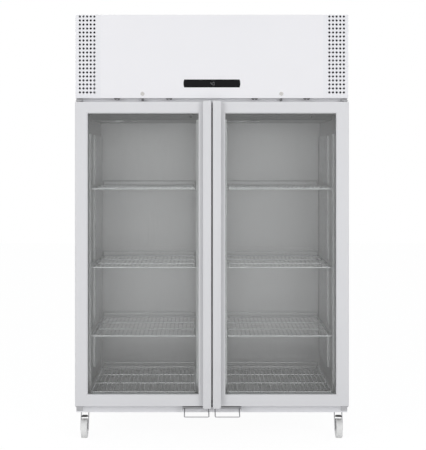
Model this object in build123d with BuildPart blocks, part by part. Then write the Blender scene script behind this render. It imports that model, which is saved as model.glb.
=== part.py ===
from build123d import *
import math
import os

# Upright two-door laboratory refrigerator with a machine compartment on top.
# Millimetres, +Z up, the doors face -Y, and the origin is under the middle of the cabinet.

# Driving dimensions
overall_width = 1400
overall_height = 2200
body_depth = 805
castor_height = 152
wall = 60
sill_height = 70
cavity_height = 1498
cavity_depth = 743
sheet = 1.5
liner_sheet = 1.0
bed = 0.3

# Doors
door_gap = 8.7
door_depth = 48
gasket_depth = 12
door_under_floor = 24.6
door_over_cavity = 32.2
stile_hinge_side = 65
stile_lock_side = 64
rail_height = 59
bead_width = 7
bead_depth = 4
bolt_entry_play = 1
door_edge_radius = 5
groove_depth = 10
pane_thickness = 4
pane_gap = 14
lip_depth = 14
gasket_width = 15
gasket_from_hinge_edge = 20
gasket_from_lock_edge = 19
gasket_from_rail_edge = 4.6
gasket_top_inset = 10.2
hinge_pin_radius = 4
hinge_pin_length = 22
hinge_fit = 0.05
hinge_from_edge = 18
hinge_behind_face = 30
hinge_washer = 4.2
hinge_washer_radius = 9
hinge_plate = 4
hinge_arm_half = 16
hinge_leaf_bottom = 33
hinge_leaf_top = 15

# Door handles
handle_reach = 40
handle_width = 41.6
handle_wall = 9
handle_lip = 8
handle_crown = 3
handle_overrun = 4
handle_end_radius = 8

# Machine compartment
fascia_gap = 19.8
fascia_setback = 25
fascia_return = 14
grille_width = 129
hole_size = 9.5
hole_columns = 5
hole_pitch_x = 18.6
hole_pitch_z = 20.5
hole_top_margin = 9
hole_foot_margin = 25
hole_edge_margin = 32
display_width = 292
display_height = 41
display_bow = 4
display_above_ledge = 75.5
display_proud = 1
display_body_depth = 16
display_flange = 8
lock_spacing = 712
lock_above_ledge = 22.3
lock_radius = 10
lock_barrel_radius = 6
lock_flange = 1.5
lock_body_size = 14
lock_body_depth = 7
keyway_width = 2
keyway_height = 6
keyway_depth = 4
cam_radius = 11
cam_width = 8
cam_thickness = 2
cam_pin_radius = 1.5
cam_pin_angle = 45
cam_pin_play = 0.5
bolt_width = 12
bolt_thickness = 6
bolt_rim = 3
bolt_travel = 12
bolt_clear_of_door = 4.8
catch_width = 36
catch_depth = 12
catch_height = 7
catch_setback = 28
catch_from_centre = 220
catch_from_fascia_edge = 84

# Shelves and what carries them
shelf_inner_edge = 88.6
shelf_side_clearance = 15
shelf_depth = 652
shelf_setback = 50
cross_bar = 6
cross_bar_count = 4
depth_wire = 3.5
depth_wire_count = 23
stop_wire_rise = 24
weld_gap = 0.02
shelf_heights = (20.6, 312.5, 669.5, 1078.7)
carrier_stand_off = 9
carrier_width = 387
carrier_setback = 298
carrier_height = 1261
carrier_above_floor = 104
slot_width = 12
slot_height = 18
slot_pitch = 48.5
slot_column_inset = 74
upright_width = 40
upright_setback = 70
upright_height = 1340
upright_above_floor = 29
post_half_width = 80
rear_post_setback = 645
bracket_height = 20
bracket_leg = 16
mullion_half = 45
mullion_depth = 50

# Air path inside the cabinet
plenum_drop = 55
plenum_setback = 52
plenum_slope_rise = 30
plenum_slope_depth = 118
duct_gap = 30
duct_lift = 152
evaporator_fan_radius = 95
fan_clearance = 5
fan_depth = 300
left_fan_from_wall = 134
right_fan_from_centre = 160
fan_blades = 5
fan_hub_radius = 30
fan_hub_length = 18
fan_hub_lift = 15
blade_pitch = 25
blade_chord = 40
blade_thickness = 2
blade_root = 5
shaft_radius = 3
motor_radius = 26
evaporator_motor_height = 26
guard_rings = 2
guard_wire = 3
guard_sides = 12
guard_spokes = 2
motor_sides = 12
guard_overlap = 7
coil_setback = 420
fin_cut = 15
coil_end_gap = 140
coil_depth = 210
coil_height = 44
coil_fins = 10
fin_thickness = 2

# Machinery on the deck
compressor_radius = 88
compressor_height = 205
compressor_from_side = 370
compressor_y = 190
compressor_shoulder = 30
can_sides = 24
foot_height = 14
condenser_length = 420
condenser_height = 300
condenser_depth = 60
condenser_from_side = 370
condenser_y = -190
condenser_fins = 9
shroud_depth = 50
shroud_wall = 2
condenser_fan_radius = 120
condenser_motor_length = 50
condenser_motor_gap = 4
motor_stand_inset = 5
control_box_width = 260
control_box_depth = 180
control_box_height = 240
control_box_from_side = 220
control_box_y = -200
gland_radius = 12
gland_length = 26
rear_vent_width = 300
rear_vent_height = 10
rear_vent_pitch = 24
rear_vent_margin = 105
rear_vent_from_edge = 370

# Foot pedals
pedal_from_centre = 4
pedal_bracket_length = 148
pedal_bracket_height = 18
pedal_bracket_lift = 20
pedal_plate = 3
pedal_ear = 4
pedal_stop_half = 3
pedal_wire_radius = 2.8
wire_sides = 6
pedal_pivot_radius = 3
pedal_reach = 60
pedal_pivot_setback = 24
pedal_arm_setback = 10
pedal_pivot_drop = 10
pedal_inset = 12
pedal_corner = 12
pedal_drop = 24

# Castors
wheel_radius = 50
wheel_width = 32
wheel_chamfer = 5
wheel_sides = 24
crown_sides = 12
castor_inset = 35
castor_setback = 110
castor_rear_inset = 90
castor_trail = 33
castor_plate_size = 68
castor_plate_thickness = 4
king_pin_radius = 6
king_pin_head = 11
king_pin_head_height = 4
crown_radius = 27
crown_height = 16
crown_half_chord = 16
fork_cheek = 3
fork_end_radius = 12
wheel_side_gap = 2
axle_radius = 5
axle_fit = 0.05
lever_width = 26
lever_thickness = 5
lever_pivot_forward = 20
lever_pivot_above_wheel = 10
lever_pivot_radius = 3
lever_length = 46
lever_boss = 8
lever_rise = 6

# Places worked out from the driving dimensions
half_width = overall_width / 2
front_reach = max(pedal_reach, handle_reach)
overall_depth = front_reach + door_depth + gasket_depth + body_depth
door_front_y = front_reach - overall_depth / 2
door_rear_y = door_front_y + door_depth
body_front_y = door_rear_y + gasket_depth
rear_y = body_front_y + body_depth
body_bottom_z = castor_height
floor_z = body_bottom_z + sill_height
ceiling_z = floor_z + cavity_height
deck_z = ceiling_z + wall
cavity_half = half_width - wall
liner_rear_y = body_front_y + cavity_depth
foam_half = half_width - sheet
door_bottom_z = floor_z - door_under_floor
door_top_z = ceiling_z + door_over_cavity
ledge_z = door_top_z + fascia_gap
fascia_front_y = door_front_y + fascia_setback
fascia_half = half_width - grille_width
hole_rows = int((overall_height - ledge_z - hole_top_margin - hole_foot_margin) / hole_pitch_z) + 1
top_z = overall_height
plenum_z = ceiling_z - plenum_drop
duct_y = liner_rear_y - duct_gap
door_lock_x = door_gap / 2
hinge_x = half_width - hinge_from_edge
hinge_y = door_front_y + hinge_behind_face
glass_width = half_width - door_lock_x - stile_hinge_side - stile_lock_side
glass_height = door_top_z - door_bottom_z - 2 * rail_height
glass_x = door_lock_x + stile_lock_side + glass_width / 2
glass_z = (door_bottom_z + door_top_z) / 2
pane_front_y = door_front_y + lip_depth
display_z = ledge_z + display_above_ledge
lock_z = ledge_z + lock_above_ledge
cam_front_y = fascia_front_y + sheet + lock_body_depth + bed
bolt_front_y = cam_front_y + cam_thickness + bed
bolt_bottom_z = door_top_z + bolt_clear_of_door
cam_pin_throw = bolt_travel / 2 / math.sin(math.radians(cam_pin_angle))
cam_pin_x = cam_pin_throw * math.cos(math.radians(cam_pin_angle))
bolt_slot_z = lock_z + bolt_travel / 2
bolt_slot_width = 2 * (cam_pin_throw + cam_pin_radius + bed)
bolt_slot_height = 2 * (cam_pin_radius + cam_pin_play)
catch_front_y = door_front_y + catch_setback
outer_catch_x = fascia_half - catch_from_fascia_edge
catch_offsets = (-outer_catch_x, -catch_from_centre, catch_from_centre, outer_catch_x)
shelf_z = [floor_z + height for height in shelf_heights]
shelf_y = body_front_y + shelf_setback
carrier_y = body_front_y + carrier_setback
slot_count = int((carrier_height + slot_height) / slot_pitch)
upright_y = body_front_y + upright_setback
rear_post_y = body_front_y + rear_post_setback
bracket_length = carrier_y + carrier_width - upright_y
plenum_y = body_front_y + plenum_setback
fan_from_centre = (left_fan_from_wall - cavity_half, right_fan_from_centre)
fan_y = body_front_y + fan_depth
evaporator_fan_z = plenum_z + fan_hub_lift
guard_radius = evaporator_fan_radius + fan_clearance + guard_overlap
coil_y = body_front_y + coil_setback
coil_half = cavity_half - coil_end_gap
rear_vent_x = half_width - rear_vent_from_edge
rear_vent_rows = int((overall_height - deck_z - 2 * rear_vent_margin) / rear_vent_pitch) + 1
condenser_x = half_width - condenser_from_side
compressor_x = compressor_from_side - half_width
control_box_x = control_box_from_side - half_width
condenser_z = deck_z + sheet + condenser_height / 2
condenser_fan_y = condenser_y + condenser_depth + shroud_depth
condenser_motor_y = condenser_fan_y + fan_hub_length / 2 + condenser_motor_gap
pedal_top_z = body_bottom_z + pedal_bracket_lift + pedal_bracket_height
pedal_arm_y = door_front_y + pedal_arm_setback
pedal_pivot_y = door_front_y + pedal_pivot_setback
pedal_pivot_z = pedal_top_z - pedal_pivot_drop
pedal_toe_y = door_front_y - pedal_reach + pedal_wire_radius
pedal_toe_z = pedal_pivot_z - pedal_drop
castor_x = half_width - castor_inset
front_swivel_y = body_front_y + castor_setback
rear_swivel_y = rear_y - castor_rear_inset
crown_bottom_z = body_bottom_z - castor_plate_thickness - bed - crown_height
king_pin_length = crown_height + 2 * bed
lever_pivot_z = 2 * wheel_radius + lever_pivot_above_wheel

os.makedirs("parts", exist_ok=True)


def save(builder, name):
    builder.part.label = name
    export_step(builder.part, f"parts/{name}.step")


def block(x0, x1, y0, y1, z0, z1, mode=Mode.ADD):
    """A rectangular block between two corners, drawn in plan and raised."""
    with BuildSketch(Plane.XY.offset(min(z0, z1))) as plan:
        with Locations(((x0 + x1) / 2, (y0 + y1) / 2)):
            Rectangle(abs(x1 - x0), abs(y1 - y0))
    extrude(plan.sketch, amount=abs(z1 - z0), mode=mode)


def display_outline(inset):
    """The display's outline in a front view: a long bar with bowed ends."""
    half_length = display_width / 2 - inset
    half_height = display_height / 2 - inset
    end_x = half_length - display_bow
    with BuildLine() as outline:
        Line((-end_x, display_z - half_height), (end_x, display_z - half_height))
        ThreePointArc(
            (end_x, display_z - half_height), (half_length, display_z), (end_x, display_z + half_height)
        )
        Line((end_x, display_z + half_height), (-end_x, display_z + half_height))
        ThreePointArc(
            (-end_x, display_z + half_height), (-half_length, display_z), (-end_x, display_z - half_height)
        )
    make_face(outline.edges())


# Outer casing: two folded side panels, a back panel and a folded base pan, butted at the corners
with BuildPart() as outer_casing:
    for side in (-1, 1):
        skin_x = half_width - sheet if side > 0 else -half_width
        with BuildSketch(Plane.YZ.offset(skin_x)):
            Polygon(
                (body_front_y, body_bottom_z),
                (rear_y, body_bottom_z),
                (rear_y, top_z),
                (fascia_front_y, top_z),
                (fascia_front_y, ledge_z),
                (body_front_y, ledge_z),
                align=None,
            )
        extrude(amount=sheet)
        block(
            side * (cavity_half + liner_sheet),
            side * foam_half,
            body_front_y,
            body_front_y + sheet,
            floor_z - liner_sheet,
            ceiling_z + liner_sheet,
        )
    block(-foam_half, foam_half, rear_y - sheet, rear_y, body_bottom_z, deck_z)
    with BuildSketch(Plane.YZ.offset(-foam_half)):
        Polygon(
            (body_front_y, body_bottom_z),
            (rear_y - sheet, body_bottom_z),
            (rear_y - sheet, body_bottom_z + sheet),
            (body_front_y + sheet, body_bottom_z + sheet),
            (body_front_y + sheet, floor_z - liner_sheet),
            (body_front_y, floor_z - liner_sheet),
            align=None,
        )
    extrude(amount=2 * foam_half)
save(outer_casing, "outer_casing")

# Machine deck: one folded sheet with the head strip over the doors and the ledge the fascia stands on
with BuildPart() as machine_deck:
    with BuildSketch(Plane.YZ.offset(-foam_half)):
        Polygon(
            (body_front_y, ceiling_z + liner_sheet),
            (body_front_y + sheet, ceiling_z + liner_sheet),
            (body_front_y + sheet, deck_z),
            (rear_y - sheet, deck_z),
            (rear_y - sheet, deck_z + sheet),
            (body_front_y, deck_z + sheet),
            align=None,
        )
        Polygon(
            (fascia_front_y + sheet, ledge_z),
            (body_front_y, ledge_z),
            (body_front_y, ledge_z + sheet),
            (fascia_front_y + sheet, ledge_z + sheet),
            align=None,
        )
    extrude(amount=2 * foam_half)
    for side in (-1, 1):
        block(
            side * lock_spacing / 2 - bolt_width / 2 - bed,
            side * lock_spacing / 2 + bolt_width / 2 + bed,
            bolt_front_y - bed,
            bolt_front_y + bolt_thickness + bed,
            ledge_z,
            ledge_z + sheet,
            mode=Mode.SUBTRACT,
        )
save(machine_deck, "machine_deck")

# Insulation: one block of rigid foam that fills the space between casing and liner
with BuildPart() as insulation:
    block(
        -foam_half,
        foam_half,
        body_front_y + sheet,
        rear_y - sheet,
        body_bottom_z + sheet,
        deck_z,
    )
    block(
        -cavity_half - liner_sheet,
        cavity_half + liner_sheet,
        body_front_y + sheet,
        liner_rear_y + liner_sheet,
        floor_z - liner_sheet,
        ceiling_z + liner_sheet,
        mode=Mode.SUBTRACT,
    )
save(insulation, "insulation")

# Inner liner: a stainless box open to the front
with BuildPart() as inner_liner:
    block(
        -cavity_half - liner_sheet,
        cavity_half + liner_sheet,
        body_front_y,
        liner_rear_y + liner_sheet,
        floor_z - liner_sheet,
        ceiling_z + liner_sheet,
    )
    block(
        -cavity_half,
        cavity_half,
        body_front_y,
        liner_rear_y,
        floor_z,
        ceiling_z,
        mode=Mode.SUBTRACT,
    )
save(inner_liner, "inner_liner")

# Centre mullion: the upright channel between the openings, on which both doors close
with BuildPart() as centre_mullion:
    block(
        -mullion_half,
        mullion_half,
        body_front_y,
        body_front_y + mullion_depth,
        floor_z,
        ceiling_z,
    )
    block(
        -mullion_half + sheet,
        mullion_half - sheet,
        body_front_y + sheet,
        body_front_y + mullion_depth,
        floor_z,
        ceiling_z,
        mode=Mode.SUBTRACT,
    )
save(centre_mullion, "centre_mullion")

# Top cover of the machine compartment
with BuildPart() as top_cover:
    block(
        -foam_half,
        foam_half,
        fascia_front_y + sheet,
        rear_y,
        top_z - sheet,
        top_z,
    )
save(top_cover, "top_cover")

# Rear panel of the machine compartment, with two banks of air slots
with BuildPart() as rear_grille_panel:
    block(-foam_half, foam_half, rear_y - sheet, rear_y, deck_z, top_z - sheet)
    with BuildSketch(Plane.XZ.offset(-rear_y)):
        with Locations((0, (deck_z + top_z) / 2)):
            with GridLocations(2 * rear_vent_x, rear_vent_pitch, 2, rear_vent_rows):
                Rectangle(rear_vent_width, rear_vent_height)
    extrude(amount=sheet, mode=Mode.SUBTRACT)
save(rear_grille_panel, "rear_grille_panel")

# Fascia cover: a folded sheet with the display opening and two lock holes
with BuildPart() as fascia_cover:
    block(-fascia_half, fascia_half, fascia_front_y, fascia_front_y + sheet, ledge_z, top_z)
    for side in (-1, 1):
        block(
            side * (fascia_half - sheet),
            side * fascia_half,
            fascia_front_y + sheet,
            fascia_front_y + fascia_return,
            ledge_z + sheet,
            top_z - sheet,
        )
    with BuildSketch(Plane.XZ.offset(-fascia_front_y)):
        display_outline(0)
        for side in (-1, 1):
            with Locations((side * lock_spacing / 2, lock_z)):
                Rectangle(lock_body_size, lock_body_size)
    extrude(amount=-sheet, mode=Mode.SUBTRACT)
save(fascia_cover, "fascia_cover")

# Side grilles: two perforated sheets beside the fascia
with BuildPart() as side_grilles:
    for side in (-1, 1):
        block(
            side * fascia_half,
            side * foam_half,
            fascia_front_y,
            fascia_front_y + sheet,
            ledge_z,
            top_z,
        )
        first_column = side * (fascia_half + hole_edge_margin)
        last_column = first_column + side * hole_pitch_x * (hole_columns - 1)
        top_row_z = top_z - hole_top_margin
        middle_row_z = top_row_z - hole_pitch_z * (hole_rows - 1) / 2
        with BuildSketch(Plane.XZ.offset(-fascia_front_y)):
            with Locations(((first_column + last_column) / 2, middle_row_z)):
                with GridLocations(hole_pitch_x, hole_pitch_z, hole_columns, hole_rows):
                    Rectangle(hole_size, hole_size)
        extrude(amount=-sheet, mode=Mode.SUBTRACT)
save(side_grilles, "side_grilles")

# Display: a black lens in the fascia opening, on the housing of its board
with BuildPart() as display_unit:
    with BuildSketch(Plane.XZ.offset(-fascia_front_y + display_proud)):
        display_outline(bed)
    extrude(amount=-display_proud - sheet)
    block(
        -display_width / 2 - display_flange,
        display_width / 2 + display_flange,
        fascia_front_y + sheet,
        fascia_front_y + sheet + display_body_depth,
        display_z - display_height / 2 - display_flange,
        display_z + display_height / 2 + display_flange,
    )
save(display_unit, "display_unit")

# Lock housings: two flanged sleeves through the fascia
with BuildPart() as lock_housings:
    for side in (-1, 1):
        with BuildSketch(Plane.XZ.offset(-fascia_front_y)):
            with Locations((side * lock_spacing / 2, lock_z)):
                Circle(lock_radius)
        extrude(amount=lock_flange)
        with BuildSketch(Plane.XZ.offset(-fascia_front_y)):
            with Locations((side * lock_spacing / 2, lock_z)):
                Rectangle(lock_body_size, lock_body_size)
        extrude(amount=-sheet - lock_body_depth)
        with BuildSketch(Plane.XZ.offset(-fascia_front_y + lock_flange)):
            with Locations((side * lock_spacing / 2, lock_z)):
                Circle(lock_barrel_radius + axle_fit)
        extrude(amount=-lock_flange - sheet - lock_body_depth, mode=Mode.SUBTRACT)
save(lock_housings, "lock_housings")


def lock_barrel(side):
    """A key barrel with its keyway, the cam behind it and the pin that lifts the bolt."""
    with BuildPart() as barrel:
        with BuildSketch(Plane.XZ.offset(-fascia_front_y + lock_flange)):
            with Locations((side * lock_spacing / 2, lock_z)):
                Circle(lock_barrel_radius)
        extrude(amount=-lock_flange - sheet - lock_body_depth - bed)
        with BuildSketch(Plane.XZ.offset(-fascia_front_y + lock_flange)):
            with Locations((side * lock_spacing / 2, lock_z)):
                Rectangle(keyway_width, keyway_height)
        extrude(amount=-keyway_depth, mode=Mode.SUBTRACT)
        with BuildSketch(Plane.XZ.offset(-cam_front_y)):
            with Locations((side * lock_spacing / 2, lock_z)):
                Rectangle(2 * cam_radius, cam_width, rotation=cam_pin_angle)
        extrude(amount=-cam_thickness)
        with BuildSketch(Plane.XZ.offset(-cam_front_y - cam_thickness)):
            with Locations((side * lock_spacing / 2 + cam_pin_x, bolt_slot_z)):
                RegularPolygon(cam_pin_radius, wire_sides)
        extrude(amount=-bed - bolt_thickness)
    return barrel


def lock_bolt(side):
    """A flat bolt with a cross slot for the cam pin. It drops into the top of the door."""
    with BuildPart() as bolt:
        with BuildSketch(Plane.XZ.offset(-bolt_front_y)):
            with Locations((side * lock_spacing / 2, (bolt_bottom_z + bolt_slot_z) / 2)):
                Rectangle(bolt_width, bolt_slot_z - bolt_bottom_z)
            with Locations((side * lock_spacing / 2, bolt_slot_z)):
                Rectangle(bolt_slot_width + 2 * bolt_rim, bolt_slot_height + 2 * bolt_rim)
                Rectangle(bolt_slot_width, bolt_slot_height, mode=Mode.SUBTRACT)
        extrude(amount=-bolt_thickness)
    return bolt


save(lock_barrel(-1), "left_lock_barrel")
save(lock_barrel(1), "right_lock_barrel")
save(lock_bolt(-1), "left_lock_bolt")
save(lock_bolt(1), "right_lock_bolt")

# Fascia catches: four bent spring clips under the ledge
with BuildPart() as fascia_catches:
    for catch_x in catch_offsets:
        with BuildSketch(Plane.XZ.offset(-catch_front_y)):
            Polygon(
                (catch_x - catch_width / 2, ledge_z),
                (catch_x - catch_width / 3, ledge_z - catch_height),
                (catch_x - catch_width / 6, ledge_z - catch_height),
                (catch_x, ledge_z - catch_height / 2),
                (catch_x + catch_width / 6, ledge_z - catch_height),
                (catch_x + catch_width / 3, ledge_z - catch_height),
                (catch_x + catch_width / 2, ledge_z),
                align=None,
            )
        extrude(amount=-catch_depth)
save(fascia_catches, "fascia_catches")


def door_frame(side):
    """A door frame: a bevelled bead round the glass, a groove for the panes and bores for the pins."""
    with BuildPart() as frame:
        block(
            side * door_lock_x,
            side * half_width,
            door_front_y,
            door_rear_y,
            door_bottom_z,
            door_top_z,
        )
        hinge_side_corner = (side * half_width, door_front_y, glass_z)
        fillet(frame.edges().filter_by(Axis.Z).sort_by_distance(hinge_side_corner)[0], door_edge_radius)
        with BuildSketch(Plane.XZ.offset(-door_front_y)):
            with Locations((side * glass_x, glass_z)):
                Rectangle(glass_width + 2 * bead_width, glass_height + 2 * bead_width)
        with BuildSketch(Plane.XZ.offset(-door_front_y - bead_depth)):
            with Locations((side * glass_x, glass_z)):
                Rectangle(glass_width, glass_height)
        loft(mode=Mode.SUBTRACT)
        block(
            side * (glass_x - glass_width / 2),
            side * (glass_x + glass_width / 2),
            door_front_y,
            door_rear_y,
            glass_z - glass_height / 2,
            glass_z + glass_height / 2,
            mode=Mode.SUBTRACT,
        )
        block(
            side * (glass_x - glass_width / 2 - groove_depth),
            side * (glass_x + glass_width / 2 + groove_depth),
            pane_front_y,
            pane_front_y + 2 * pane_thickness + pane_gap,
            glass_z - glass_height / 2 - groove_depth,
            glass_z + glass_height / 2 + groove_depth,
            mode=Mode.SUBTRACT,
        )
        for bore_z, direction in ((door_bottom_z, 1), (door_top_z, -1)):
            with BuildSketch(Plane.XY.offset(bore_z)):
                with Locations((side * hinge_x, hinge_y)):
                    Circle(hinge_pin_radius + hinge_fit)
            extrude(amount=direction * (hinge_pin_length + bed), mode=Mode.SUBTRACT)
        block(
            side * lock_spacing / 2 - bolt_width / 2 - bolt_entry_play,
            side * lock_spacing / 2 + bolt_width / 2 + bolt_entry_play,
            bolt_front_y - bolt_entry_play,
            bolt_front_y + bolt_thickness + bolt_entry_play,
            door_top_z - bolt_travel,
            door_top_z,
            mode=Mode.SUBTRACT,
        )
    return frame


def door_glass(side):
    """Double glazing: two panes with an air gap, held in the groove of the frame."""
    with BuildPart() as glass:
        for pane_y in (pane_front_y, pane_front_y + pane_thickness + pane_gap):
            block(
                side * (glass_x - glass_width / 2 - groove_depth),
                side * (glass_x + glass_width / 2 + groove_depth),
                pane_y,
                pane_y + pane_thickness,
                glass_z - glass_height / 2 - groove_depth,
                glass_z + glass_height / 2 + groove_depth,
            )
    return glass


def door_gasket(side):
    """The magnetic gasket: a rubber ring between the door and the cabinet's front."""
    outer_x = half_width - gasket_from_hinge_edge
    inner_x = door_lock_x + gasket_from_lock_edge
    bottom_z = door_bottom_z + gasket_from_rail_edge
    top_edge_z = door_top_z - gasket_top_inset
    with BuildPart() as gasket:
        block(side * inner_x, side * outer_x, door_rear_y, body_front_y, bottom_z, top_edge_z)
        block(
            side * (inner_x + gasket_width),
            side * (outer_x - gasket_width),
            door_rear_y,
            body_front_y,
            bottom_z + gasket_width,
            top_edge_z - gasket_width,
            mode=Mode.SUBTRACT,
        )
    return gasket


def door_handle(side):
    """A full-height grip: a stem at the door's free edge and a crowned lip with a finger gap behind it."""
    lip_front_y = door_front_y - handle_reach
    lip_rear_y = lip_front_y + handle_crown + handle_lip
    inner_x = side * door_lock_x
    outer_x = side * (door_lock_x + handle_width)
    with BuildPart() as handle:
        with BuildSketch(Plane.XY.offset(door_bottom_z - handle_overrun)):
            with BuildLine():
                Line((inner_x, door_front_y), (inner_x, lip_front_y + handle_crown))
                ThreePointArc(
                    (inner_x, lip_front_y + handle_crown),
                    ((inner_x + outer_x) / 2, lip_front_y),
                    (outer_x, lip_front_y + handle_crown),
                )
                Line((outer_x, lip_front_y + handle_crown), (outer_x, lip_rear_y))
                Line((outer_x, lip_rear_y), (inner_x + side * handle_wall, lip_rear_y))
                Line(
                    (inner_x + side * handle_wall, lip_rear_y),
                    (inner_x + side * handle_wall, door_front_y),
                )
                Line((inner_x + side * handle_wall, door_front_y), (inner_x, door_front_y))
            make_face()
        extrude(amount=door_top_z - door_bottom_z + 2 * handle_overrun)
        with BuildSketch(Plane.XZ.offset(-lip_front_y)):
            with Locations(((inner_x + outer_x) / 2, glass_z)):
                RectangleRounded(
                    handle_width,
                    door_top_z - door_bottom_z + 2 * handle_overrun,
                    handle_end_radius,
                )
        extrude(amount=-handle_reach, mode=Mode.INTERSECT)
    return handle


for door_side, door_name in ((-1, "left"), (1, "right")):
    save(door_frame(door_side), f"{door_name}_door_frame")
    save(door_glass(door_side), f"{door_name}_door_glass")
    save(door_gasket(door_side), f"{door_name}_door_gasket")
    save(door_handle(door_side), f"{door_name}_door_handle")

# Hinge brackets: an angle, a washer and a pin at the bottom and top outer corner of each door
with BuildPart() as hinge_brackets:
    for side in (-1, 1):
        for door_end_z, up, leaf in (
            (door_bottom_z, 1, hinge_leaf_bottom),
            (door_top_z, -1, hinge_leaf_top),
        ):
            arm_z = door_end_z - up * hinge_washer
            block(
                side * (hinge_x - hinge_arm_half),
                side * (hinge_x + hinge_arm_half),
                hinge_y - hinge_arm_half,
                body_front_y,
                arm_z - up * hinge_plate,
                arm_z,
            )
            block(
                side * (hinge_x - hinge_arm_half),
                side * (hinge_x + hinge_arm_half),
                body_front_y - hinge_plate,
                body_front_y,
                arm_z - up * leaf,
                arm_z,
            )
            with BuildSketch(Plane.XY.offset(arm_z)):
                with Locations((side * hinge_x, hinge_y)):
                    RegularPolygon(hinge_washer_radius, wire_sides)
            extrude(amount=up * hinge_washer)
            with BuildSketch(Plane.XY.offset(door_end_z)):
                with Locations((side * hinge_x, hinge_y)):
                    Circle(hinge_pin_radius)
            extrude(amount=up * hinge_pin_length)
save(hinge_brackets, "hinge_brackets")

# Shelf uprights: slotted carriers and front channels on the side walls, and two centre posts
with BuildPart() as shelf_uprights:
    for side in (-1, 1):
        face_x = cavity_half - carrier_stand_off
        for front_y, width, bottom_z, height in (
            (carrier_y, carrier_width, floor_z + carrier_above_floor, carrier_height),
            (upright_y, upright_width, floor_z + upright_above_floor, upright_height),
        ):
            block(
                side * face_x,
                side * cavity_half,
                front_y,
                front_y + width,
                bottom_z,
                bottom_z + height,
            )
            block(
                side * (face_x + liner_sheet),
                side * cavity_half,
                front_y + liner_sheet,
                front_y + width - liner_sheet,
                bottom_z,
                bottom_z + height,
                mode=Mode.SUBTRACT,
            )
        slot_middle_z = floor_z + carrier_above_floor + carrier_height / 2
        with BuildSketch(Plane.YZ.offset(side * face_x)):
            with Locations((carrier_y + carrier_width / 2, slot_middle_z)):
                with GridLocations(carrier_width - 2 * slot_column_inset, slot_pitch, 2, slot_count):
                    Rectangle(slot_width, slot_height)
        extrude(amount=side * liner_sheet, mode=Mode.SUBTRACT)
    for front_y in (upright_y, rear_post_y):
        block(
            -post_half_width,
            post_half_width,
            front_y,
            front_y + upright_width,
            floor_z,
            plenum_z,
        )
        block(
            -post_half_width + liner_sheet,
            post_half_width - liner_sheet,
            front_y + liner_sheet,
            front_y + upright_width,
            floor_z,
            plenum_z,
            mode=Mode.SUBTRACT,
        )
save(shelf_uprights, "shelf_uprights")

# Shelf brackets: an angle on each side of each shelf
with BuildPart() as shelf_brackets:
    for side in (-1, 1):
        for wall_x, inward in ((cavity_half - carrier_stand_off, -1), (post_half_width, 1)):
            for bracket_z in shelf_z:
                with BuildSketch(Plane.XZ.offset(-upright_y)):
                    Polygon(
                        (side * wall_x, bracket_z - sheet),
                        (side * (wall_x + inward * bracket_leg), bracket_z - sheet),
                        (side * (wall_x + inward * bracket_leg), bracket_z),
                        (side * (wall_x + inward * sheet), bracket_z),
                        (side * (wall_x + inward * sheet), bracket_z + bracket_height),
                        (side * wall_x, bracket_z + bracket_height),
                        align=None,
                    )
                extrude(amount=-bracket_length)
save(shelf_brackets, "shelf_brackets")


def wire_shelf(side, bottom_z):
    """A welded wire shelf: cross bars, the depth wires that lie on them and a raised rear stop.

    The wires are square in section to keep the facets few, and each stays a solid of its own.
    """
    outer_x = cavity_half - shelf_side_clearance
    middle_x = side * (shelf_inner_edge + outer_x) / 2
    shelf_width = outer_x - shelf_inner_edge
    wire_pitch = (shelf_width - depth_wire) / (depth_wire_count + 1)
    wires_z = bottom_z + cross_bar + weld_gap
    stop_height = wires_z + stop_wire_rise - bottom_z
    with BuildPart() as shelf:
        with BuildSketch(Plane.YZ.offset(middle_x - shelf_width / 2)):
            with Locations((shelf_y + shelf_depth / 2, bottom_z + cross_bar / 2)):
                with GridLocations(
                    (shelf_depth - cross_bar) / (cross_bar_count - 1), 0, cross_bar_count, 1
                ):
                    Rectangle(cross_bar, cross_bar)
        extrude(amount=shelf_width)
        with BuildSketch(Plane.XZ.offset(-shelf_y)):
            with Locations((middle_x, wires_z + depth_wire / 2)):
                with GridLocations(wire_pitch, 0, depth_wire_count + 2, 1):
                    Rectangle(depth_wire, depth_wire)
        extrude(amount=-shelf_depth)
        with BuildSketch(Plane.XZ.offset(-shelf_y - shelf_depth - weld_gap)):
            with Locations((middle_x, bottom_z + stop_height / 2)):
                Rectangle(shelf_width, stop_height)
                Rectangle(shelf_width - 2 * depth_wire, stop_height - 2 * depth_wire, mode=Mode.SUBTRACT)
        extrude(amount=-depth_wire)
    return shelf


for shelf_side, column in ((-1, "left"), (1, "right")):
    for number, level_z in enumerate(shelf_z, start=1):
        save(wire_shelf(shelf_side, level_z), f"{column}_shelf_{number}")

# Ceiling plenum: the folded cover under the cooling coil, with an opening for each fan
with BuildPart() as ceiling_plenum:
    with BuildSketch(Plane.YZ.offset(-cavity_half)):
        Polygon(
            (plenum_y, ceiling_z),
            (plenum_y, plenum_z + plenum_slope_rise),
            (plenum_y + plenum_slope_depth, plenum_z),
            (duct_y + liner_sheet, plenum_z),
            (duct_y + liner_sheet, plenum_z + liner_sheet),
            (plenum_y + plenum_slope_depth, plenum_z + liner_sheet),
            (plenum_y + liner_sheet, plenum_z + plenum_slope_rise + liner_sheet),
            (plenum_y + liner_sheet, ceiling_z),
            align=None,
        )
    extrude(amount=2 * cavity_half)
    with BuildSketch(Plane.XY.offset(plenum_z)):
        for fan_x in fan_from_centre:
            with Locations((fan_x, fan_y)):
                RegularPolygon(evaporator_fan_radius + fan_clearance, guard_sides, major_radius=False)
    extrude(amount=liner_sheet, mode=Mode.SUBTRACT)
save(ceiling_plenum, "ceiling_plenum")

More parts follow.
